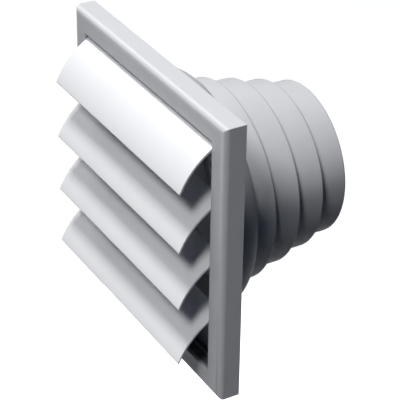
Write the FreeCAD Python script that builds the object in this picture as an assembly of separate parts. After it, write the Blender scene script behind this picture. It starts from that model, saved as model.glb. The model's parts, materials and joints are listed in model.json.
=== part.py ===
import FreeCAD, Part
import math
import os

from FreeCAD import Vector

# Exterior ventilation grille with four hinged flaps and a stepped duct spigot.
# Millimetres. The wall plane is y = 0 with its centre on the duct axis.
# The grille looks towards -Y, the duct runs towards +Y, and +Z is up.

# Square front frame, one moulding that is hollow from the back
FACE_SIZE = 186.0
FRAME_DEPTH = 14.45
FRAME_BORDER = 13.6
FRAME_WALL = 2.2
EDGE_ROUND_ACROSS = 4.9
EDGE_ROUND_DEEP = 3.95
TOP_POCKET = 2.1
SILL_LIP_HEIGHT = 2.0
SILL_LIP_THICK = 2.8
SILL_LIP_SETBACK = 7.8

# Flaps, drawn as they stand part open
FLAP_COUNT = 4
FLAP_ROW_SPARE = 3.0
FLAP_OVERLAP = 2.38
FLAP_RADIUS = 54.0
FLAP_DROP_ANGLE = 44.66
FLAP_ROOT_THICK = 1.8
FLAP_TIP_THICK = 1.2
FLAP_SIDE_GAP = 0.4

# Hinge pins moulded on the flaps, and their blind sockets in the frame
PIN_RADIUS = 1.5
PIN_REACH = 3.0
PIN_ROOT = 8.0
PIN_CLEARANCE = 0.05
PIN_END_GAP = 0.3
PIVOT_ALONG_FLAP = 5.0
PIVOT_UNDER_SKIN = 2.0
PIVOT_SETBACK = 5.29
FIRST_PIVOT_DROP = 4.27
SOCKET_RADIUS = 4.0
SOCKET_END_WALL = 1.8

# Pegs on the side walls that stop the flaps when they are shut
CLOSE_ANGLE = 41.0
STOP_ALONG_FLAP = 22.0
STOP_RADIUS = 1.5
STOP_REACH = 2.0
STOP_CLEARANCE = 0.3

# Spigot plate that closes the back of the frame
PLATE_THICK = 2.5
PLATE_CLEARANCE = 0.3
WALL_HOLE_RADIUS = 2.4
WALL_HOLE_INSET = 9.4

# Collar and duct steps, from the wall outwards
SPIGOT_WALL = 2.0
COLLAR_PAST_OPENING = 1.4
COLLAR_STRAIGHT = 4.75
COLLAR_ROUND = 23.1
STEP_DIAMETERS = (130.0, 120.0, 110.0, 100.0)
FIRST_STEP_END = 41.0
STEP_LENGTH = 20.0
SPIGOT_LENGTH = 100.6
STEP_EDGE_ROUND = 1.5

# Countersunk screws that hold the spigot plate to the frame
SCREW_RADIUS = 1.4
SCREW_LENGTH = 9.5
SCREW_POINT = 2.0
SCREW_HEAD_RADIUS = 2.75
SCREW_HEAD_DEEP = 1.5
SCREW_CLEARANCE = 0.05
SCREW_SLOT_WIDTH = 0.8
SCREW_SLOT_DEEP = 0.8
BOSS_RADIUS = 3.5
BOSS_BORE_SPARE = 0.5

# Sizes that follow from those above
HALF_FACE = FACE_SIZE / 2
HALF_OPENING = HALF_FACE - FRAME_BORDER
FLAP_PITCH = (2 * HALF_OPENING - FLAP_ROW_SPARE) / FLAP_COUNT
FLAP_CHORD = FLAP_PITCH + FLAP_OVERLAP
WALL_HOLE_PLACE = HALF_OPENING - WALL_HOLE_INSET
COLLAR_RADIUS = HALF_OPENING + COLLAR_PAST_OPENING
FRONT = -FRAME_DEPTH
SKIN_BACK = FRONT + FRAME_WALL
PLATE_FRONT = -PLATE_THICK
SKIRT_INSIDE = HALF_FACE - FRAME_WALL
INNER_WALL_OUTSIDE = HALF_OPENING + FRAME_WALL
POCKET_TOP = HALF_OPENING + TOP_POCKET
SCREW_PLACE = (SKIRT_INSIDE + INNER_WALL_OUTSIDE) / 2
PIVOT_Y = FRONT + PIVOT_SETBACK
HALF_FLAP = HALF_OPENING - FLAP_SIDE_GAP
AXIS_X = Vector(1, 0, 0)
AXIS_Y = Vector(0, 1, 0)
AXIS_Z = Vector(0, 0, 1)


def pivot_height(number):
    """Height of the hinge axis of flap 0, 1, 2 ... counted from the top."""
    return HALF_OPENING - FIRST_PIVOT_DROP - number * FLAP_PITCH


def block(low, high):
    """Box between two opposite corners."""
    size = Vector(*high).sub(Vector(*low))
    return Part.makeBox(size.x, size.y, size.z, Vector(*low))


def rod(radius, start, along, length):
    """Cylinder from a start point along a direction."""
    return Part.makeCylinder(radius, length, start, along)


def ellipse_corner(centre, across, deep, along_x):
    """Quarter ellipse from the side of a section round to its front face.

    The centre is given as (across, y), and across is negative for the left or lower edge.
    """
    def place(angle):
        u = centre[0] + across * math.cos(angle)
        y = centre[1] - deep * math.sin(angle)
        return Vector(u, y, 0) if along_x else Vector(0, y, u)
    ends = place(0.0), place(math.pi / 2)
    if deep > abs(across):
        major, minor = place(math.pi / 2), place(0.0)
    else:
        major, minor = place(0.0), place(math.pi / 2)
    middle = Vector(centre[0], centre[1], 0) if along_x else Vector(0, centre[1], centre[0])
    ellipse = Part.Ellipse(major, minor, middle)
    first, last = (ellipse.parameter(end) for end in ends)
    span = (last - first) % (2 * math.pi)
    if span > math.pi:
        first, last = last, first
    return Part.ArcOfEllipse(ellipse, first, last).toShape()


def rounded_bar(half, front, back, across, deep, along_x):
    """Long bar with its two front edges rounded.

    The section spans -half to half. With along_x it lies across X and the bar runs along Z.
    """
    def place(u, y):
        return Vector(u, y, 0) if along_x else Vector(0, y, u)
    flat = half - across
    start = front + deep
    edges = [
        Part.makeLine(place(-half, back), place(half, back)),
        Part.makeLine(place(half, back), place(half, start)),
        ellipse_corner((flat, start), across, deep, along_x),
        Part.makeLine(place(flat, front), place(-flat, front)),
        ellipse_corner((-flat, start), -across, deep, along_x),
        Part.makeLine(place(-half, start), place(-half, back)),
    ]
    section = Part.Face(Part.Wire(Part.__sortEdges__(edges)))
    run = AXIS_Z if along_x else AXIS_X
    section.translate(run * -half)
    return section.extrude(run * (2 * half))


def mitred_block(half, front, back, across, deep):
    """Square block whose front edges are rounded and meet at mitred corners."""
    upright = rounded_bar(half, front, back, across, deep, True)
    level = rounded_bar(half, front, back, across, deep, False)
    return upright.common(level)


def corner_places(distance):
    """The four (x, z) corners of a centred square."""
    return [(x, z) for x in (-distance, distance) for z in (-distance, distance)]


def flap_angles():
    """Polar angles, about the flap's arc centre, of its top edge, tip and hinge pin."""
    half = math.asin(FLAP_CHORD / 2 / FLAP_RADIUS)
    middle = math.radians(90.0 + FLAP_DROP_ANGLE)
    top = middle - half
    return top, middle + half, top + PIVOT_ALONG_FLAP / FLAP_RADIUS


def on_flap(number, radius, angle, x=0.0):
    """Point at a polar place about the arc centre of one flap at rest."""
    pin_angle = flap_angles()[2]
    reach = FLAP_RADIUS - PIVOT_UNDER_SKIN
    centre_y = PIVOT_Y - reach * math.cos(pin_angle)
    centre_z = pivot_height(number) - reach * math.sin(pin_angle)
    return Vector(x, centre_y + radius * math.cos(angle), centre_z + radius * math.sin(angle))


def stop_centre(number):
    """Centre of the peg that the shut flap rests on."""
    root, tip, pin = flap_angles()
    angle = root + STOP_ALONG_FLAP / FLAP_RADIUS
    share = (angle - root) / (tip - root)
    thick = FLAP_ROOT_THICK + share * (FLAP_TIP_THICK - FLAP_ROOT_THICK)
    peg = on_flap(number, FLAP_RADIUS - thick - STOP_CLEARANCE - STOP_RADIUS, angle)
    pivot = Vector(0, PIVOT_Y, pivot_height(number))
    turn = FreeCAD.Rotation(AXIS_X, CLOSE_ANGLE)
    return pivot.add(turn.multVec(peg.sub(pivot)))


def frame_shell():
    """Rounded front skin, outer skirt and inner walls, open at the back."""
    shell = mitred_block(HALF_FACE, FRONT, 0.0, EDGE_ROUND_ACROSS, EDGE_ROUND_DEEP)
    channel = mitred_block(SKIRT_INSIDE, SKIN_BACK, 0.0,
                           EDGE_ROUND_ACROSS - FRAME_WALL, EDGE_ROUND_DEEP - FRAME_WALL)
    inner_walls = block((-INNER_WALL_OUTSIDE, FRONT, -INNER_WALL_OUTSIDE),
                        (INNER_WALL_OUTSIDE, PLATE_FRONT, POCKET_TOP + FRAME_WALL))
    return shell.cut(channel.cut(inner_walls))


def front_frame():
    """The whole frame moulding with its sockets, stop pegs, sill lip and screw bosses."""
    additions = []
    for x, z in corner_places(SCREW_PLACE):
        additions.append(rod(BOSS_RADIUS, Vector(x, SKIN_BACK, z), AXIS_Y, PLATE_FRONT - SKIN_BACK))
    socket_end = HALF_FLAP + PIN_REACH + PIN_END_GAP + SOCKET_END_WALL
    for number in range(FLAP_COUNT):
        for side in (-1, 1):
            start = Vector(side * HALF_OPENING, PIVOT_Y, pivot_height(number))
            additions.append(rod(SOCKET_RADIUS, start, AXIS_X * side, socket_end - HALF_OPENING))
    frame = frame_shell().multiFuse(additions)

    opening = block((-HALF_OPENING, FRONT, -HALF_OPENING), (HALF_OPENING, PLATE_FRONT, HALF_OPENING))
    pocket = block((-HALF_OPENING, SKIN_BACK, 0.0), (HALF_OPENING, PLATE_FRONT, POCKET_TOP))
    cuts = [opening, pocket]
    for x, z in corner_places(SCREW_PLACE):
        depth = SCREW_LENGTH - PLATE_THICK + BOSS_BORE_SPARE
        cuts.append(rod(SCREW_RADIUS + SCREW_CLEARANCE, Vector(x, PLATE_FRONT, z), -AXIS_Y, depth))
    bore_end = HALF_FLAP + PIN_REACH + PIN_END_GAP
    for number in range(FLAP_COUNT):
        start = Vector(-bore_end, PIVOT_Y, pivot_height(number))
        cuts.append(rod(PIN_RADIUS + PIN_CLEARANCE, start, AXIS_X, 2 * bore_end))
    for cutter in cuts:
        frame = frame.cut(cutter)

    lip_front = FRONT + SILL_LIP_SETBACK
    inside = [block((-HALF_OPENING, lip_front, -INNER_WALL_OUTSIDE),
                    (HALF_OPENING, lip_front + SILL_LIP_THICK, SILL_LIP_HEIGHT - HALF_OPENING))]
    for number in range(FLAP_COUNT):
        for side in (-1, 1):
            start = stop_centre(number)
            start.x = side * (HALF_OPENING + FRAME_WALL / 2)
            inside.append(rod(STOP_RADIUS, start, AXIS_X * -side, STOP_REACH + FRAME_WALL / 2))
    return frame.multiFuse(inside).removeSplitter()


def flap(number):
    """One curved blade, thinner towards its tip, with a hinge pin at each end."""
    top, tip, pin = flap_angles()
    middle = (top + tip) / 2
    inner_top = FLAP_RADIUS - FLAP_ROOT_THICK
    inner_tip = FLAP_RADIUS - FLAP_TIP_THICK
    x = -HALF_FLAP
    outside = [on_flap(number, FLAP_RADIUS, angle, x) for angle in (top, middle, tip)]
    inside = [on_flap(number, inner_tip, tip, x),
              on_flap(number, (inner_top + inner_tip) / 2, middle, x),
              on_flap(number, inner_top, top, x)]
    edges = [Part.Arc(*outside).toShape(), Part.makeLine(outside[2], inside[0]),
             Part.Arc(*inside).toShape(), Part.makeLine(inside[2], outside[0])]
    blade = Part.Face(Part.Wire(edges)).extrude(AXIS_X * (2 * HALF_FLAP))
    pins = []
    for side in (-1, 1):
        start = Vector(side * (HALF_FLAP - PIN_ROOT), PIVOT_Y, pivot_height(number))
        pins.append(rod(PIN_RADIUS, start, AXIS_X * side, PIN_ROOT + PIN_REACH))
    return blade.multiFuse(pins).removeSplitter()


def spigot_profile():
    """Closed half section of the collar and steps, in the plane x = radius, y = depth."""
    def place(radius, y):
        return Vector(radius, y, 0)

    def dome(wall, meets):
        """Straight start of the collar and the quarter round down to the first step."""
        radius = COLLAR_ROUND - wall
        centre = COLLAR_RADIUS - COLLAR_ROUND
        end_angle = math.acos((meets - centre) / radius)
        points = [place(centre + radius * math.cos(angle), COLLAR_STRAIGHT + radius * math.sin(angle))
                  for angle in (0.0, end_angle / 2, end_angle)]
        return points

    radii = [diameter / 2 for diameter in STEP_DIAMETERS]
    ends = [FIRST_STEP_END + STEP_LENGTH * index for index in range(len(radii) - 1)] + [SPIGOT_LENGTH]
    edge = STEP_EDGE_ROUND
    slant = edge * (1 - math.sqrt(0.5))

    outer = dome(0.0, radii[0])
    edges = [Part.makeLine(place(COLLAR_RADIUS, PLATE_FRONT), outer[0]), Part.Arc(*outer).toShape()]
    last = outer[2]
    for radius, end in zip(radii, ends):
        before = place(radius, end - edge)
        after = place(radius - edge, end)
        start = place(radius, last.y)
        if start.distanceToPoint(last) > 1e-6:
            edges.append(Part.makeLine(last, start))
        edges.append(Part.makeLine(start, before))
        edges.append(Part.Arc(before, place(radius - slant, end - slant), after).toShape())
        last = after
    rim = place(radii[-1] - SPIGOT_WALL, SPIGOT_LENGTH)
    edges.append(Part.makeLine(last, rim))

    inner = dome(SPIGOT_WALL, radii[0] - SPIGOT_WALL)
    inner_ends = [end - SPIGOT_WALL for end in ends[:-1]]
    last = rim
    for index in range(len(inner_ends) - 1, -1, -1):
        corner = place(radii[index + 1] - SPIGOT_WALL, inner_ends[index])
        edges.append(Part.makeLine(last, corner))
        last = place(radii[index] - SPIGOT_WALL, inner_ends[index])
        edges.append(Part.makeLine(corner, last))
    edges.append(Part.makeLine(last, inner[2]))
    edges.append(Part.Arc(inner[2], inner[1], inner[0]).toShape())
    foot = place(COLLAR_RADIUS - SPIGOT_WALL, PLATE_FRONT)
    edges.append(Part.makeLine(inner[0], foot))
    edges.append(Part.makeLine(foot, place(COLLAR_RADIUS, PLATE_FRONT)))
    return Part.Wire(edges)


def countersink(radius, head_radius, x, z):
    """Screw hole through the plate, opened to a cone at the wall side."""
    hole = rod(radius, Vector(x, PLATE_FRONT, z), AXIS_Y, PLATE_THICK)
    slope = (SCREW_HEAD_RADIUS - SCREW_RADIUS) / SCREW_HEAD_DEEP
    depth = (head_radius - radius) / slope
    cone = Part.makeCone(radius, head_radius, depth, Vector(x, -depth, z), AXIS_Y)
    return hole.fuse(cone)


def stepped_spigot():
    """Back plate, domed collar and stepped spigot, one moulding with an even wall."""
    half = SKIRT_INSIDE - PLATE_CLEARANCE
    plate = block((-half, PLATE_FRONT, -half), (half, 0.0, half))
    plate = plate.cut(rod(COLLAR_RADIUS - SPIGOT_WALL, Vector(0, PLATE_FRONT, 0), AXIS_Y, PLATE_THICK))
    tube = Part.Face(spigot_profile()).revolve(Vector(0, 0, 0), AXIS_Y, 360)
    spigot = plate.fuse(tube).removeSplitter()
    for x, z in corner_places(SCREW_PLACE):
        spigot = spigot.cut(countersink(SCREW_RADIUS + SCREW_CLEARANCE,
                                        SCREW_HEAD_RADIUS + SCREW_CLEARANCE, x, z))
    for x, z in corner_places(WALL_HOLE_PLACE):
        spigot = spigot.cut(rod(WALL_HOLE_RADIUS, Vector(x, PLATE_FRONT, z), AXIS_Y, PLATE_THICK))
    return spigot


def spigot_slices():
    """The spigot moulding cut into its plate, its collar and each step.

    Cut up, every slice is a plain plate or ring, and its collision can stay open inside.
    """
    radius = COLLAR_ROUND - SPIGOT_WALL
    across = STEP_DIAMETERS[0] / 2 - SPIGOT_WALL - (COLLAR_RADIUS - COLLAR_ROUND)
    cuts = [PLATE_FRONT, COLLAR_STRAIGHT + math.sqrt(radius ** 2 - across ** 2)]
    cuts += [FIRST_STEP_END + STEP_LENGTH * index for index in range(len(STEP_DIAMETERS) - 1)]
    cuts.append(SPIGOT_LENGTH)
    names = ["spigot_collar"] + ["duct_step_%d" % size for size in STEP_DIAMETERS]
    whole = stepped_spigot()
    inside = rod(COLLAR_RADIUS, Vector(0, PLATE_FRONT, 0), AXIS_Y, SPIGOT_LENGTH + PLATE_THICK)
    slices = {"spigot_plate": whole.cut(inside).removeSplitter()}
    for name, low, high in zip(names, cuts[:-1], cuts[1:]):
        reach = rod(COLLAR_RADIUS, Vector(0, low, 0), AXIS_Y, high - low)
        slices[name] = whole.common(reach).removeSplitter()
    return slices


def plate_screw(x, z):
    """Countersunk self-tapping screw, driven from the wall side."""
    points = [(0, 0), (SCREW_HEAD_RADIUS, 0), (SCREW_RADIUS, -SCREW_HEAD_DEEP),
              (SCREW_RADIUS, SCREW_POINT - SCREW_LENGTH), (0, -SCREW_LENGTH), (0, 0)]
    outline = Part.makePolygon([Vector(radius, y, 0) for radius, y in points])
    screw = Part.Face(outline).revolve(Vector(0, 0, 0), AXIS_Y, 360)
    reach = SCREW_HEAD_RADIUS * 0.6
    half_slot = SCREW_SLOT_WIDTH / 2
    bar_x = block((-reach, -SCREW_SLOT_DEEP, -half_slot), (reach, 0.0, half_slot))
    bar_z = block((-half_slot, -SCREW_SLOT_DEEP, -reach), (half_slot, 0.0, reach))
    screw = screw.cut(bar_x.fuse(bar_z))
    screw.translate(Vector(x, 0, z))
    return screw


def plate_screws():
    """The four identical screws as one group."""
    return Part.makeCompound([plate_screw(x, z) for x, z in corner_places(SCREW_PLACE)])


os.makedirs("parts", exist_ok=True)
pieces = {"front_frame": front_frame(), "plate_screws": plate_screws()}
pieces.update(spigot_slices())
for index in range(FLAP_COUNT):
    pieces["flap_%d" % (index + 1)] = flap(index)

for name, shape in pieces.items():
    shape.exportStep(os.path.join("parts", name + ".step"))
    print(name, len(shape.Solids), "solid", round(shape.Volume / 1000, 2), "cm3", shape.isValid())
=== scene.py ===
import json
import math

import bmesh
import bpy
import numpy as np
from mathutils import Matrix, Vector


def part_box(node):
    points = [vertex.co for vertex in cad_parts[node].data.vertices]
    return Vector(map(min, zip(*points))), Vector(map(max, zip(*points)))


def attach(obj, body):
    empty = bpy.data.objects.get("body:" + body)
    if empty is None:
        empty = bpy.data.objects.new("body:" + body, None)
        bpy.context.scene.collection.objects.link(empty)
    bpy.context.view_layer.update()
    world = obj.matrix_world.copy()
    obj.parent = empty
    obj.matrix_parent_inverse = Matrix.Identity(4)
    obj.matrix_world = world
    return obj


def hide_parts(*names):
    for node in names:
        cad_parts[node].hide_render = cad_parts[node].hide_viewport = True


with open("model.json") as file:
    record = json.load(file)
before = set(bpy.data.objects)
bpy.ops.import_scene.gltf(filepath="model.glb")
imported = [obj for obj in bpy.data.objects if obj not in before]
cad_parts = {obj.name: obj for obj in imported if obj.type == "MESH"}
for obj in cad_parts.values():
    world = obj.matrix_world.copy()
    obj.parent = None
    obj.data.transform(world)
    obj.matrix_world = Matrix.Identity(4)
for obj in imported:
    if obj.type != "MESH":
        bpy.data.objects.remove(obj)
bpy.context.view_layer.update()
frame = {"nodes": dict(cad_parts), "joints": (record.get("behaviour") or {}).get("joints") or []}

# Frame in millimetres, the same as the solids'
MM = 0.001
HALF_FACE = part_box("front_frame")[1][0] / MM
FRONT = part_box("front_frame")[0][1] / MM
HALF_OPENING = 79.4
FRAME_WALL = 2.2
FRAME_EDGE = 0.28
ROUND_ACROSS = 4.9
ROUND_DEEP = 3.95
TOP_POCKET = 2.1
POCKET_SLOPE = 0.02
SILL_LIP_SETBACK = 7.8
SILL_LIP_THICK = 2.8
SILL_LIP_HEIGHT = 2.0
SILL_LIP_EDGE = 0.4
SKIRT_INSIDE = HALF_FACE - FRAME_WALL
INNER_WALL_OUTSIDE = HALF_OPENING + FRAME_WALL
SKIN_BACK = FRONT + FRAME_WALL

# Back plate, its screws and its holes
PLATE_THICK = 2.5
PLATE_HALF = SKIRT_INSIDE - 0.3
PLATE_ROUND = 85.0
SCREW_PLACE = (SKIRT_INSIDE + INNER_WALL_OUTSIDE) / 2
WALL_HOLE_PLACE = 70.0
WALL_HOLE_RADIUS = 2.4
BOSS_RADIUS = 3.5
BOSS_ROOT = 0.5
SCREW_BORE = 1.45
SCREW_BORE_DEEP = 7.5
SCREW_BORE_SHORT = 0.5
SCREW_HEAD_BORE = 2.8
SCREW_HEAD_DEEP = 1.5
SCREW_HEAD_PAST = 0.01

# Collar and duct steps
SPIGOT_WALL = 2.0
COLLAR_RADIUS = 80.8
COLLAR_STRAIGHT = 4.75
COLLAR_ROUND = 23.1
COLLAR_FOOT = 0.8
STEP_RADII = (65.0, 60.0, 55.0, 50.0)
STEP_ENDS = (41.0, 61.0, 81.0, 100.6)
STEP_ROUND = 1.5
STEP_CORNER = 0.25
INNER_CORNER = 0.4

# Flaps, their pins, and the sockets and pegs in the frame
FLAP_RADIUS = 54.0
FLAP_CHORD = 41.33
FLAP_DROP = 44.66
FLAP_ROOT_THICK = 1.8
FLAP_TIP_THICK = 1.2
FLAP_HALF = HALF_OPENING - 0.4
FLAP_EDGE = 0.3
FLAP_NOSE = 0.6
PIN_RADIUS = 1.5
PIN_CLEARANCE = 0.05
PIN_REACH = 3.0
PIN_ROOT = 8.0
PIN_UNDER_SKIN = 2.0
PIN_ALONG = 5.0
SOCKET_RADIUS = 4.0
SOCKET_REACH = FLAP_HALF + PIN_REACH + 0.3
SOCKET_END = 1.8
SOCKET_CUT_ROOM = 4.0
STOP_RADIUS = 1.5
STOP_REACH = 2.0
STOP_ALONG = 22.0
STOP_CLEARANCE = 0.3
CLOSE_ANGLE = 41.0
ROD_EDGE = 0.4

# How deep a fitting starts inside its wall, and how far a cutting rod starts outside what it cuts
WALL_ROOT = 1.0
PAST = 1.0

# How finely the surfaces are divided
CORNER_STEPS = 5
EDGE_STEPS = 4
ROD_SIDES = 40
OUTER_ROUND_STEPS = 20
INNER_ROUND_STEPS = 8
BLADE_POINTS = 56
NOSE_POINTS = 7
OUTER_DOME_STEPS = 28
INNER_DOME_STEPS = 20
DUCT_SIDES = 192
SHARP_ANGLE = math.radians(30)
BEVEL_ANGLE = math.radians(40)

PIVOTS = [[value / MM for value in joint["pos_m"]] for joint in frame["joints"]]


# Meshes
def shade(mesh):
    """Smooth shading except where faces turn by more than the sharp angle."""
    mesh.shade_smooth()
    mesh.set_sharp_from_angle(angle=SHARP_ANGLE)


def make_object(name, points, faces):
    """Object from points in millimetres."""
    mesh = bpy.data.meshes.new(name)
    mesh.from_pydata((np.asarray(points) * MM).tolist(), [], faces)
    mesh.validate()
    shade(mesh)
    piece = bpy.data.objects.new(name, mesh)
    bpy.context.scene.collection.objects.link(piece)
    return piece


def loop_faces(rings, count, closed):
    """Quads between neighbouring rings of count points, and from the last ring to the first if closed."""
    ring = np.arange(rings if closed else rings - 1)[:, None]
    step = np.arange(count)[None, :]
    after = (ring + 1) % rings
    ahead = (step + 1) % count
    quads = np.stack([ring * count + step, ring * count + ahead,
                      after * count + ahead, after * count + step], axis=-1)
    return quads.reshape(-1, 4).tolist()


def rod_faces(rings, count):
    """Quads between neighbouring rings of count points, then one face over each end."""
    first_end = list(range(count))[::-1]
    last_end = list(range((rings - 1) * count, rings * count))
    return loop_faces(rings, count, False) + [first_end, last_end]


def rounded_outline(corners):
    """Closed outline through (a, b, radius) corners.

    A corner of radius r is cut at r / tan(half the angle between its legs) from its point on both
    legs, and an arc about the centre where both legs are r away joins the cuts.
    """
    corners = np.asarray(corners, float)
    total = len(corners)
    out = []
    for index in range(total):
        here, radius = corners[index, :2], corners[index, 2]
        if radius == 0:
            out.append(here[None])
            continue
        back = corners[index - 1, :2] - here
        ahead = corners[(index + 1) % total, :2] - here
        back /= np.linalg.norm(back)
        ahead /= np.linalg.norm(ahead)
        half = np.arccos(np.clip(back @ ahead, -1, 1)) / 2
        bisector = (back + ahead) / np.linalg.norm(back + ahead)
        centre = here + bisector * radius / np.sin(half)
        first = here + back * radius / np.tan(half) - centre
        last = here + ahead * radius / np.tan(half) - centre
        turn = np.arctan2(first[0] * last[1] - first[1] * last[0], first @ last)
        t = np.linspace(0, turn, CORNER_STEPS + 1)[:, None]
        side = np.array([-first[1], first[0]])
        out.append(centre + np.cos(t) * first + np.sin(t) * side)
    return np.concatenate(out)


def arc(centre, across, along, start, end, steps):
    """Points centre + (across cos t, along sin t) for t from start to end degrees."""
    t = np.radians(np.linspace(start, end, steps + 1))
    return np.stack([centre[0] + across * np.cos(t), centre[1] + along * np.sin(t)], axis=1)


def polar(reach, angle):
    """Points (reach cos angle, reach sin angle)."""
    return np.stack([reach * np.cos(angle), reach * np.sin(angle)], axis=1)


def rod(radius, start, direction, length, edge=0.0, end_radius=None):
    """Points and faces of a rod: circles of a profile carried along a direction, with flat ends.

    The circle at distance d has radius r(d), which is smaller by edge * (1 - cos) at a rounded end.
    """
    direction = np.asarray(direction, float)
    aslant = [0.31, 0.87, 0.39]
    side = np.cross(direction, aslant)
    side /= np.linalg.norm(side)
    other = np.cross(direction, side)
    end_radius = radius if end_radius is None else end_radius
    if edge:
        turn = np.radians(np.linspace(0, 90, EDGE_STEPS + 1))
        distance = np.r_[0, length - edge + edge * np.sin(turn)]
        radii = np.r_[radius, end_radius - edge * (1 - np.cos(turn))]
    else:
        distance = np.array([0, length])
        radii = np.array([radius, end_radius])
    angle = np.linspace(0, 2 * np.pi, ROD_SIDES, endpoint=False)
    circle = np.cos(angle)[:, None] * side + np.sin(angle)[:, None] * other
    points = np.asarray(start) + distance[:, None, None] * direction + radii[:, None, None] * circle
    return points.reshape(-1, 3), rod_faces(len(distance), ROD_SIDES)


def join(shells):
    """Points and faces of several shells as one list each."""
    points, faces, base = [], [], 0
    for shell_points, shell_faces in shells:
        points.append(shell_points)
        faces += [[base + index for index in face] for face in shell_faces]
        base += len(shell_points)
    return np.concatenate(points), faces


def outward(piece):
    """Turns every face of a closed mesh outwards."""
    mesh = bmesh.new()
    mesh.from_mesh(piece.data)
    bmesh.ops.recalc_face_normals(mesh, faces=mesh.faces)
    mesh.to_mesh(piece.data)
    mesh.free()


def bake_modifiers(piece):
    """Replaces the mesh by what its modifiers make of it."""
    graph = bpy.context.evaluated_depsgraph_get()
    made = bpy.data.meshes.new_from_object(piece.evaluated_get(graph))
    piece.modifiers.clear()
    piece.data = made


def combine(piece, operation, shells, crossing=False):
    """Adds shells to a piece or cuts them out of it. Crossing says that some run into each other."""
    other = make_object("shells", *join(shells))
    outward(other)
    change = piece.modifiers.new("shells", "BOOLEAN")
    change.operation = operation
    change.solver = "EXACT"
    change.use_self = crossing
    change.object = other
    bake_modifiers(piece)
    bpy.data.objects.remove(other)


def soften_edges(piece, width):
    """Rounds every edge sharper than the bevel angle."""
    bevel = piece.modifiers.new("edge", "BEVEL")
    bevel.width = width * MM
    bevel.segments = 3
    bevel.limit_method = "ANGLE"
    bevel.angle_limit = BEVEL_ANGLE
    bevel.use_clamp_overlap = True
    bake_modifiers(piece)


def square(place):
    """The four (x, z) corners of a centred square."""
    return [(x, z) for x in (-place, place) for z in (-place, place)]


# Frame
def frame_section():
    """Closed section of the frame's side as rows of (u at the sides, u at the top, y).

    The pocket over the top flap has its back sloped by a trace, because at the sides, where there is
    no pocket, its two corners would be one point.
    """
    top = HALF_OPENING + TOP_POCKET
    centre = (HALF_FACE - ROUND_ACROSS, FRONT + ROUND_DEEP)
    outer = arc(centre, ROUND_ACROSS, -ROUND_DEEP, 90, 0, OUTER_ROUND_STEPS)
    inner = arc(centre, ROUND_ACROSS - FRAME_WALL, FRAME_WALL - ROUND_DEEP, 0, 90, INNER_ROUND_STEPS)
    skirt = np.concatenate([outer, [(HALF_FACE, 0.0), (SKIRT_INSIDE, 0.0)], inner])
    skirt = np.column_stack([skirt[:, 0], skirt[:, 0], skirt[:, 1]])
    wall = [
        (INNER_WALL_OUTSIDE, top + FRAME_WALL, SKIN_BACK),
        (INNER_WALL_OUTSIDE, top + FRAME_WALL, -PLATE_THICK),
        (HALF_OPENING, top, -PLATE_THICK),
        (HALF_OPENING, top, SKIN_BACK + POCKET_SLOPE),
        (HALF_OPENING, HALF_OPENING, SKIN_BACK),
        (HALF_OPENING, HALF_OPENING, FRONT),
    ]
    return np.concatenate([skirt, wall])


def stop_place(pivot):
    """(y, z) of the peg behind a shut flap: its place at rest, turned by the closing angle."""
    root, tip, pin = flap_angles()
    angle = root + STOP_ALONG / FLAP_RADIUS
    share = (angle - root) / (tip - root)
    thick = FLAP_ROOT_THICK + share * (FLAP_TIP_THICK - FLAP_ROOT_THICK)
    reach = FLAP_RADIUS - thick - STOP_CLEARANCE - STOP_RADIUS
    pin_reach = FLAP_RADIUS - PIN_UNDER_SKIN
    y = reach * math.cos(angle) - pin_reach * math.cos(pin)
    z = reach * math.sin(angle) - pin_reach * math.sin(pin)
    turn = math.radians(CLOSE_ANGLE)
    return (pivot[1] + y * math.cos(turn) - z * math.sin(turn),
            pivot[2] + y * math.sin(turn) + z * math.cos(turn))


def sill_lip():
    """Low ridge along the sill: a rounded section carried from side wall to side wall."""
    front = FRONT + SILL_LIP_SETBACK
    back = front + SILL_LIP_THICK
    base = -HALF_OPENING - WALL_ROOT
    top = SILL_LIP_HEIGHT - HALF_OPENING
    section = rounded_outline([(front, base, 0), (front, top, SILL_LIP_EDGE),
                               (back, top, SILL_LIP_EDGE), (back, base, 0)])
    x = np.repeat([-HALF_OPENING - WALL_ROOT, HALF_OPENING + WALL_ROOT], len(section))
    points = np.column_stack([x, np.tile(section, (2, 1))])
    return points, rod_faces(2, len(section))


def frame_fittings():
    """Shells of the sill lip, the screw bosses, the stop pegs and the hinge sockets."""
    shells = [sill_lip()]
    for x, z in square(SCREW_PLACE):
        shells.append(rod(BOSS_RADIUS, (x, SKIN_BACK - BOSS_ROOT, z), (0, 1, 0),
                          -PLATE_THICK - SKIN_BACK + BOSS_ROOT))
    for pivot in PIVOTS:
        peg_y, peg_z = stop_place(pivot)
        for side in (-1, 1):
            wall = side * (HALF_OPENING + WALL_ROOT)
            shells.append(rod(STOP_RADIUS, (wall, peg_y, peg_z), (-side, 0, 0),
                              STOP_REACH + WALL_ROOT, edge=ROD_EDGE))
            shells.append(rod(SOCKET_RADIUS, (wall, pivot[1], pivot[2]), (side, 0, 0),
                              SOCKET_REACH + SOCKET_END - HALF_OPENING - WALL_ROOT, edge=ROD_EDGE))
    return shells


def frame_bores():
    """Shells of the screw bores and of the hinge sockets' bores."""
    bores = [rod(SCREW_BORE, (x, PAST, z), (0, -1, 0), SCREW_BORE_DEEP + PAST)
             for x, z in square(SCREW_PLACE)]
    for pivot in PIVOTS:
        for side in (-1, 1):
            start = (side * (HALF_OPENING - SOCKET_CUT_ROOM), pivot[1], pivot[2])
            bores.append(rod(PIN_RADIUS + PIN_CLEARANCE, start, (side, 0, 0),
                             SOCKET_REACH - HALF_OPENING + SOCKET_CUT_ROOM))
    return bores


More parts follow.
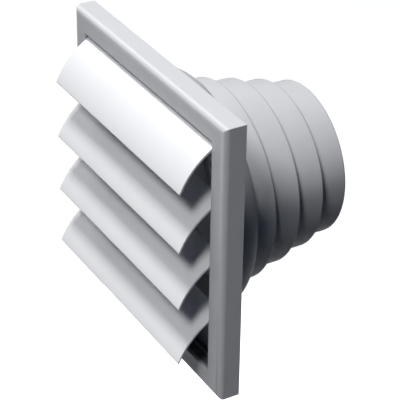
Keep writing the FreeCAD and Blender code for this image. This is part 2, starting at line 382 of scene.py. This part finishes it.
def make_frame():
    """The section carried round a square: corner (sx, sz) holds the point (sx * u, y, sz * u)."""
    section = frame_section()
    sides = np.array([(-1, -1), (1, -1), (1, 1), (-1, 1)])
    across = section[:, 0][:, None] * sides[None, :, 0]
    up = np.where(sides[None, :, 1] > 0, section[:, 1][:, None], -section[:, 0][:, None])
    deep = np.broadcast_to(section[:, 2][:, None], across.shape)
    points = np.stack([across, deep, up], axis=-1).reshape(-1, 3)
    piece = make_object("frame_moulding", points, loop_faces(len(section), 4, True))
    outward(piece)
    soften_edges(piece, FRAME_EDGE)
    combine(piece, "UNION", frame_fittings(), crossing=True)
    combine(piece, "DIFFERENCE", frame_bores())
    shade(piece.data)
    return piece


# Flaps
def flap_angles():
    """Polar angles of a flap's top edge, tip and pin about the centre of its arc."""
    half = math.asin(FLAP_CHORD / 2 / FLAP_RADIUS)
    middle = math.radians(90 + FLAP_DROP)
    return middle - half, middle + half, middle - half + PIN_ALONG / FLAP_RADIUS


def blade_section(angle, thick, draw):
    """Closed outline of a blade about the centre of its arc: skin, tip, underside, top edge.

    At radius R of the arc, the skin is R - draw and the underside R - thickness + draw. A half
    circle as wide as the wall, squeezed to the nose's length, closes both ends.
    """
    outer = FLAP_RADIUS - draw
    inner = FLAP_RADIUS - thick + draw
    spread = (FLAP_NOSE - draw) / FLAP_RADIUS
    nose = np.radians(np.linspace(0, 180, NOSE_POINTS + 2)[1:-1])
    noses = []
    for end, sign in ((-1, 1), (0, -1)):
        half = (thick[end] - 2 * draw) / 2
        reach = outer - half + half * np.cos(nose) * sign
        noses.append(polar(reach, angle[end] + sign * spread * np.sin(nose)))
    return np.concatenate([polar(outer, angle), noses[0], polar(inner, angle)[::-1], noses[1]])


def mark_painted_underside(piece, count, bands):
    """Second material, a painted shade, on the tip and the underside, in each band of faces across the
    blade.
    """
    first = BLADE_POINTS - 1
    last = 2 * BLADE_POINTS + NOSE_POINTS - 2
    step = np.arange(count)
    under = np.tile((step >= first) & (step <= last), bands)
    index = np.zeros(len(piece.data.polygons), np.int32)
    index[:len(under)] = under
    piece.data.polygons.foreach_set("material_index", index)


def make_flap(name, pivot):
    """Curved blade: its section carried across the opening, and drawn in near both side edges.

    The wall thins evenly from the top edge to the tip. The section is drawn in by the edge radius
    times (1 - sin t) where it is moved inwards by the edge radius times (1 - cos t).
    """
    top, tip, pin = flap_angles()
    pin_reach = FLAP_RADIUS - PIN_UNDER_SKIN
    centre = np.array([pivot[1] - pin_reach * math.cos(pin), pivot[2] - pin_reach * math.sin(pin)])
    share = np.linspace(0, 1, BLADE_POINTS)
    trim = FLAP_NOSE / FLAP_RADIUS
    angle = top + trim + (tip - top - 2 * trim) * share
    thick = FLAP_ROOT_THICK + (FLAP_TIP_THICK - FLAP_ROOT_THICK) * share

    turn = np.radians(np.linspace(0, 90, EDGE_STEPS + 1))
    drawn = FLAP_EDGE * (1 - np.sin(turn))
    moved = FLAP_EDGE * (1 - np.cos(turn))
    draws = np.r_[drawn, 0.0, drawn[::-1]]
    places = np.r_[-FLAP_HALF + moved, 0.0, (FLAP_HALF - moved)[::-1]]
    rings = []
    for place, draw in zip(places, draws):
        section = blade_section(angle, thick, draw) + centre
        rings.append(np.column_stack([np.full(len(section), place), section]))
    count = len(rings[0])
    shells = [(np.concatenate(rings), rod_faces(len(rings), count))]
    for side in (-1, 1):
        shells.append(rod(PIN_RADIUS, (side * (FLAP_HALF - PIN_ROOT), pivot[1], pivot[2]),
                          (side, 0, 0), PIN_ROOT + PIN_REACH, edge=ROD_EDGE))
    piece = make_object(name, *join(shells))
    mark_painted_underside(piece, count, len(rings) - 1)
    outward(piece)
    return piece


# Spigot
def collar_dome(wall, meets, steps):
    """Corners along the collar's dome, wall under its skin, up to where its radius is meets."""
    radius = COLLAR_ROUND - wall
    centre = COLLAR_RADIUS - COLLAR_ROUND
    end = math.degrees(math.acos((meets - centre) / radius))
    points = arc((centre, COLLAR_STRAIGHT), radius, radius, 0, end, steps)
    return np.column_stack([points, np.zeros(len(points))])


def spigot_section():
    """Closed section of plate, collar and steps, and which of its points lie on the plate's edge."""
    plate = [(COLLAR_RADIUS - SPIGOT_WALL, -PLATE_THICK, INNER_CORNER), (PLATE_ROUND, -PLATE_THICK, 0),
             (PLATE_HALF, -PLATE_THICK, 0), (PLATE_HALF, 0.0, 0), (PLATE_ROUND, 0.0, 0),
             (COLLAR_RADIUS, 0.0, COLLAR_FOOT)]
    dome = collar_dome(0.0, STEP_RADII[0], OUTER_DOME_STEPS)
    steps = []
    for index, (radius, end) in enumerate(zip(STEP_RADII, STEP_ENDS)):
        steps.append((radius, end, STEP_ROUND))
        if index + 1 < len(STEP_RADII):
            steps.append((STEP_RADII[index + 1], end, STEP_CORNER))
    steps.append((STEP_RADII[-1] - SPIGOT_WALL, STEP_ENDS[-1], INNER_CORNER))
    for index in range(len(STEP_RADII) - 2, -1, -1):
        end = STEP_ENDS[index] - SPIGOT_WALL
        steps.append((STEP_RADII[index + 1] - SPIGOT_WALL, end, INNER_CORNER))
        steps.append((STEP_RADII[index] - SPIGOT_WALL, end, INNER_CORNER))
    inside = collar_dome(SPIGOT_WALL, STEP_RADII[0] - SPIGOT_WALL, INNER_DOME_STEPS)[::-1]
    outline = rounded_outline(np.concatenate([plate, dome, steps, inside]))
    return outline, np.isclose(outline[:, 0], PLATE_HALF)


def mark_painted_inside(piece):
    """Second material, a painted shade, where a face looks at the duct's axis or forwards, away from the
    wall's room.
    """
    at_axis = -0.3
    forwards = -0.5
    count = len(piece.data.polygons)
    centre = np.empty(3 * count)
    normal = np.empty(3 * count)
    piece.data.polygons.foreach_get("center", centre)
    piece.data.polygons.foreach_get("normal", normal)
    centre, normal = centre.reshape(-1, 3), normal.reshape(-1, 3)
    radius = np.hypot(centre[:, 0], centre[:, 2])
    outwards = (normal[:, 0] * centre[:, 0] + normal[:, 2] * centre[:, 2]) / radius
    inside = (outwards < at_axis) | (normal[:, 1] < forwards)
    piece.data.polygons.foreach_set("material_index", inside.astype(np.int32))


def make_spigot():
    """The section turned about Y: a point at angle t is (r cos t, y, r sin t).

    Where the plate's edge is, r is half the plate's width over the larger of |cos t| and |sin t|.
    """
    outline, squared = spigot_section()
    t = np.linspace(0, 2 * np.pi, DUCT_SIDES, endpoint=False)
    stretch = 1 / np.maximum(np.abs(np.cos(t)), np.abs(np.sin(t)))
    radius = outline[:, 0][:, None] * np.where(squared[:, None], stretch[None, :], 1.0)
    points = np.stack([radius * np.cos(t), np.broadcast_to(outline[:, 1][:, None], radius.shape),
                       radius * np.sin(t)], axis=-1).reshape(-1, 3)
    piece = make_object("spigot_moulding", points, loop_faces(len(outline), DUCT_SIDES, True))
    outward(piece)

    before = -PLATE_THICK - PAST
    wall_holes = [rod(WALL_HOLE_RADIUS, (x, before, z), (0, 1, 0), PLATE_THICK + 2 * PAST)
                  for x, z in square(WALL_HOLE_PLACE)]
    screw_holes = []
    for x, z in square(SCREW_PLACE):
        screw_holes.append(rod(SCREW_BORE, (x, before, z), (0, 1, 0), PAST + PLATE_THICK - SCREW_BORE_SHORT))
        screw_holes.append(rod(SCREW_BORE, (x, -SCREW_HEAD_DEEP, z), (0, 1, 0),
                               SCREW_HEAD_DEEP + SCREW_HEAD_PAST, end_radius=SCREW_HEAD_BORE))
    combine(piece, "DIFFERENCE", wall_holes + screw_holes)
    shade(piece.data)
    mark_painted_inside(piece)
    return piece


# Materials
class Value:
    """A node's output, on which +, - and * with values or numbers add Math nodes."""

    def __init__(self, nodes, socket):
        self.nodes = nodes
        self.socket = socket

    def math(self, operation, first, second):
        """What a Math node makes of two values or numbers."""
        return self.nodes.node("ShaderNodeMath", {"operation": operation}, i0=first, i1=second)

    def __add__(self, other):
        return self.math("ADD", self, other)

    def __radd__(self, other):
        return self.math("ADD", other, self)

    def __sub__(self, other):
        return self.math("SUBTRACT", self, other)

    def __rsub__(self, other):
        return self.math("SUBTRACT", other, self)

    def __mul__(self, other):
        return self.math("MULTIPLY", self, other)

    def __rmul__(self, other):
        return self.math("MULTIPLY", other, self)


class Nodes:
    """A node tree with one method that adds any node."""

    def __init__(self, tree):
        self.tree = tree

    def feed(self, slot, value):
        """Links a value to a socket, or sets the socket to a number or colour."""
        if isinstance(value, Value):
            self.tree.links.new(value.socket, slot)
        else:
            slot.default_value = value

    def node(self, kind, settings=None, out=0, **inputs):
        """Adds a node, sets its settings, then its sockets by number, as in i0, or name, _ for a space."""
        node = self.tree.nodes.new(kind)
        for key, value in (settings or {}).items():
            setattr(node, key, value)
        for key, value in inputs.items():
            self.feed(node.inputs[int(key[1:]) if key[1:].isdigit() else key.replace("_", " ")], value)
        return Value(self, node.outputs[out])

    def ramp(self, value, low, high):
        """0 below low, 1 above high and smooth between. The other way round where low is the larger."""
        return self.node("ShaderNodeMapRange", {"interpolation_type": "SMOOTHSTEP"},
                         Value=value, From_Min=low, From_Max=high)

    def blend(self, share, first, second):
        """Colour between two colours."""
        settings = {"data_type": "RGBA"}
        return self.node("ShaderNodeMix", settings, out=2, i0=share, i6=first, i7=second)


class Material(Nodes):
    """A material on the Principled shader, with its patterns in Object coordinates."""

    def __init__(self, name):
        self.made = bpy.data.materials.new(name)
        self.made.use_nodes = True
        super().__init__(self.made.node_tree)
        self.shader = self.tree.nodes["Principled BSDF"]
        self.place = self.node("ShaderNodeTexCoord", out="Object")

    def noise(self, size, detail=2.0, rough=0.5, stretch=(1, 1, 1)):
        """Noise whose features are about size millimetres."""
        place = self.node("ShaderNodeMapping", Vector=self.place, Scale=stretch)
        return self.node("ShaderNodeTexNoise", Vector=place, Scale=1 / (size * MM), Detail=detail,
                         Roughness=rough)

    def bump(self, height):
        """Normal of a surface raised by a height in metres."""
        return self.node("ShaderNodeBump", Height=height, Strength=1.0, Distance=1.0)

    def set(self, **inputs):
        """Links or sets the shader's own sockets."""
        for key, value in inputs.items():
            self.feed(self.shader.inputs[key.replace("_", " ")], value)


def painted_shade_share(made):
    """Mask of the painted shade inside the opening: 0 on the face and 1 well inside it, by depth behind the
    face, within the opening's square.
    """
    # The painted shade starts at the face, is full 4 mm deep, and fades out at the edge of the opening's
    # square.
    shade_starts, shade_full = FRONT + 0.1, FRONT + 4.0
    shade_ends, full_within = 85.0, 84.0
    x, y, z = (made.node("ShaderNodeSeparateXYZ", out=index, Vector=made.place) for index in range(3))
    across = x.math("MAXIMUM", x.math("ABSOLUTE", x, 0.0), z.math("ABSOLUTE", z, 0.0))
    deep = made.ramp(y, shade_starts * MM, shade_full * MM)
    return deep * made.ramp(across, shade_ends * MM, full_within * MM)


def plastic(name, light, dark, roughness, grain, level, inside=None):
    """Moulded white plastic: faint cloudiness, a fine eroded grain and soft handling marks.

    With an inside colour, painted shade takes over well inside the opening. The grain is a height in
    millimetres and the level the shader's specular one.
    """
    cloud_share, smudge_share = 0.6, 0.4
    smudge_dulls, grain_dulls, wave_height = 0.07, 0.05, 0.05
    made = Material(name)
    cloud = made.ramp(made.noise(size=38.0, detail=3.0), 0.35, 0.65)
    fine = made.noise(size=0.55, detail=3.0, rough=0.6)
    wave = made.noise(size=26.0, detail=1.0)
    smudge = made.ramp(made.noise(size=11.0, detail=4.0, rough=0.62), 0.48, 0.70)
    colour = made.blend(cloud * cloud_share + smudge * smudge_share, light, dark)
    # Painted shade: the inside colour darkens the surface well inside the opening.
    if inside is not None:
        colour = made.blend(painted_shade_share(made), colour, inside)
    made.set(Base_Color=colour,
             Roughness=roughness + smudge * smudge_dulls + fine * grain_dulls - grain_dulls / 2,
             IOR=1.5, Specular_IOR_Level=level,
             Normal=made.bump(fine * (grain * MM) + wave * (wave_height * MM)))
    return made.made


def zinc(name):
    """Zinc-plated steel: bright grey with a faint yellow bloom and brushed marks."""
    scratch_dulls, scratch_height = 0.2, 0.01
    made = Material(name)
    bloom = made.ramp(made.noise(size=1.6, detail=3.0), 0.4, 0.66)
    scratch = made.noise(size=0.25, stretch=(1, 6, 1))
    made.set(Base_Color=made.blend(bloom, (0.62, 0.62, 0.60, 1), (0.52, 0.50, 0.42, 1)), Metallic=1.0,
             Roughness=0.28 + scratch * scratch_dulls, Normal=made.bump(scratch * (scratch_height * MM)))
    return made.made


def dress(piece, materials, body, slot, *nodes):
    """Gives a piece its materials and body, and hides the solids that it stands for. The slot is not used.

    The large faces set the shading, so that a flat one looks flat up to its rounded edge.
    """
    even = piece.modifiers.new("even", "WEIGHTED_NORMAL")
    even.weight = 95
    even.keep_sharp = True
    piece.data.materials.clear()
    for material in materials:
        piece.data.materials.append(material)
    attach(piece, body)
    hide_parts(*nodes)


# The frame's inside colour is painted shade, near black well inside the opening.
frame_plastic = plastic("frame_plastic", light=(0.68, 0.686, 0.698, 1), dark=(0.66, 0.666, 0.678, 1),
                        roughness=0.38, grain=0.010, level=1.0, inside=(0.10, 0.102, 0.106, 1))
flap_plastic = plastic("flap_plastic", light=(0.90, 0.90, 0.904, 1), dark=(0.88, 0.88, 0.884, 1),
                       roughness=0.34, grain=0.008, level=0.4)
# Near-black flap undersides and tips: painted shade.
flap_underside = plastic("flap_underside", light=(0.10, 0.102, 0.107, 1), dark=(0.07, 0.072, 0.077, 1),
                         roughness=0.7, grain=0.010, level=0.05)
spigot_plastic = plastic("spigot_plastic", light=(0.63, 0.635, 0.645, 1), dark=(0.60, 0.605, 0.615, 1),
                         roughness=0.42, grain=0.014, level=0.2)
# Dark grey duct inside: painted shade.
spigot_painted_shade = plastic("spigot_painted_shade", light=(0.22, 0.222, 0.226, 1), dark=(0.17, 0.172, 0.176, 1),
                        roughness=0.7, grain=0.016, level=0.05)
screw_steel = zinc("screw_steel")

SPIGOT_NODES = ("spigot_plate", "spigot_collar", "duct_step_130", "duct_step_120", "duct_step_110",
                "duct_step_100")
dress(make_frame(), [frame_plastic], "housing", "frame_plastic", "front_frame")
dress(make_spigot(), [spigot_plastic, spigot_painted_shade], "housing", "spigot_plastic", *SPIGOT_NODES)
for number, pivot in enumerate(PIVOTS, 1):
    flap = "flap_%d" % number
    dress(make_flap("flap_blade_%d" % number, pivot), [flap_plastic, flap_underside], flap,
          "flap_plastic", flap)
screws = frame["nodes"]["plate_screws"]
screws.data.materials.clear()
screws.data.materials.append(screw_steel)


# Camera at the photograph's angle, in degrees and metres: it looks at a point right of the frame's centre
AZIMUTH = math.radians(59.706)
ELEVATION = math.radians(31.055)
ROLL = math.radians(0.885)
DISTANCE = 1.0679
AIM_RIGHT = 0.03395
AIM_UP = 0.0001
LENS = 156.54
SENSOR = 36

# Each lamp's name, direction from the grille, distance and width in metres, power and colour
LAMPS = (
    ("overhead", (-0.08, -0.20, 0.977), 3.2, 0.72, 71, (1, 1, 1)),
    ("front", (0.35, -0.53, 0.77), 3.2, 0.74, 43, (0.985, 0.995, 1.012)),
    ("left_softbox", (-0.74, -0.22, 0.635), 3.2, 1.2, 14, (1, 1, 1)),
    ("behind", (-0.74, 0.50, -0.45), 1.5, 0.6, 8, (1, 1, 1)),
)
AMBIENT = (0.009, 0.019, 0.039, 1)
WORLD_MIRRORED = 0.5
FLOOR_HEIGHT = -0.90
FLOOR_HALF = 30.0
FLOOR_MIRRORED = 0.15


def make_camera():
    """Camera at a distance from the aim, turned by its azimuth, elevation and roll."""
    back = Vector((math.sin(AZIMUTH) * math.cos(ELEVATION), -math.cos(AZIMUTH) * math.cos(ELEVATION),
                   math.sin(ELEVATION)))
    right = Vector((math.cos(AZIMUTH), math.sin(AZIMUTH), 0))
    up = back.cross(right)
    across = right * math.cos(ROLL) + up * math.sin(ROLL)
    above = up * math.cos(ROLL) - right * math.sin(ROLL)
    place = Vector((0, FRONT * MM, 0)) + back * DISTANCE + right * AIM_RIGHT + up * AIM_UP
    camera = bpy.data.objects.new("camera", bpy.data.cameras.new("camera"))
    camera.data.lens = LENS
    camera.data.sensor_width = SENSOR
    turn = Matrix((across, above, back)).transposed().to_4x4()
    camera.matrix_world = Matrix.Translation(place) @ turn
    bpy.context.scene.collection.objects.link(camera)
    bpy.context.scene.camera = camera


def make_lamp(name, towards, distance, size, power, colour):
    """Square soft light at a distance, in a direction from the grille, facing it."""
    light = bpy.data.lights.new(name, "AREA")
    light.size = size
    light.energy = power
    light.color = colour
    holder = bpy.data.objects.new(name, light)
    towards = Vector(towards).normalized()
    holder.location = towards * distance
    holder.rotation_mode = "QUATERNION"
    holder.rotation_quaternion = towards.to_track_quat("Z", "Y")
    bpy.context.scene.collection.objects.link(holder)


def seen_directly(nodes, mirrored=1.0):
    """1 for what the camera or glass sees, mirrored for a reflection, 0 for light that bounces on.

    A reflection counts only where nothing dull lies between it and the camera.
    """
    camera, glossy, through, bounces = (
        nodes.node("ShaderNodeLightPath", out=name)
        for name in ("Is Camera Ray", "Is Glossy Ray", "Is Transmission Ray", "Diffuse Depth"))
    reflected = glossy * mirrored * (1.0 - bounces.math("MINIMUM", bounces, 1.0))
    return camera.math("MAXIMUM", camera, camera.math("MAXIMUM", reflected, through))


def make_floor():
    """Wide pale floor: it looks white, and sends little light back up."""
    corners = np.array([(-1, -1, 0), (1, -1, 0), (1, 1, 0), (-1, 1, 0)]) * FLOOR_HALF
    mesh = bpy.data.meshes.new("floor")
    mesh.from_pydata((corners + (0, 0, FLOOR_HEIGHT)).tolist(), [], [(0, 1, 2, 3)])
    floor = bpy.data.objects.new("floor", mesh)
    bpy.context.scene.collection.objects.link(floor)
    made = Material("floor")
    shade_colour = made.blend(seen_directly(made), (0.03, 0.03, 0.033, 1), (0.50, 0.50, 0.50, 1))
    glow = made.blend(seen_directly(made, FLOOR_MIRRORED), (0, 0, 0, 1), (0.80, 0.80, 0.80, 1))
    made.set(Base_Color=shade_colour, Roughness=1.0, Specular_IOR_Level=0.0, Emission_Color=glow,
             Emission_Strength=1.0)
    mesh.materials.append(made.made)


def make_world():
    """White where it is seen, and a weak cool light for everything else."""
    world = bpy.data.worlds.new("studio")
    world.use_nodes = True
    nodes = Nodes(world.node_tree)
    sky = nodes.blend(seen_directly(nodes, WORLD_MIRRORED), AMBIENT, (1, 1, 1, 1))
    nodes.feed(nodes.tree.nodes["Background"].inputs["Color"], sky)
    bpy.context.scene.world = world


make_camera()
for row in LAMPS:
    make_lamp(*row)
make_floor()
make_world()
bpy.context.scene.view_settings.view_transform = "Standard"
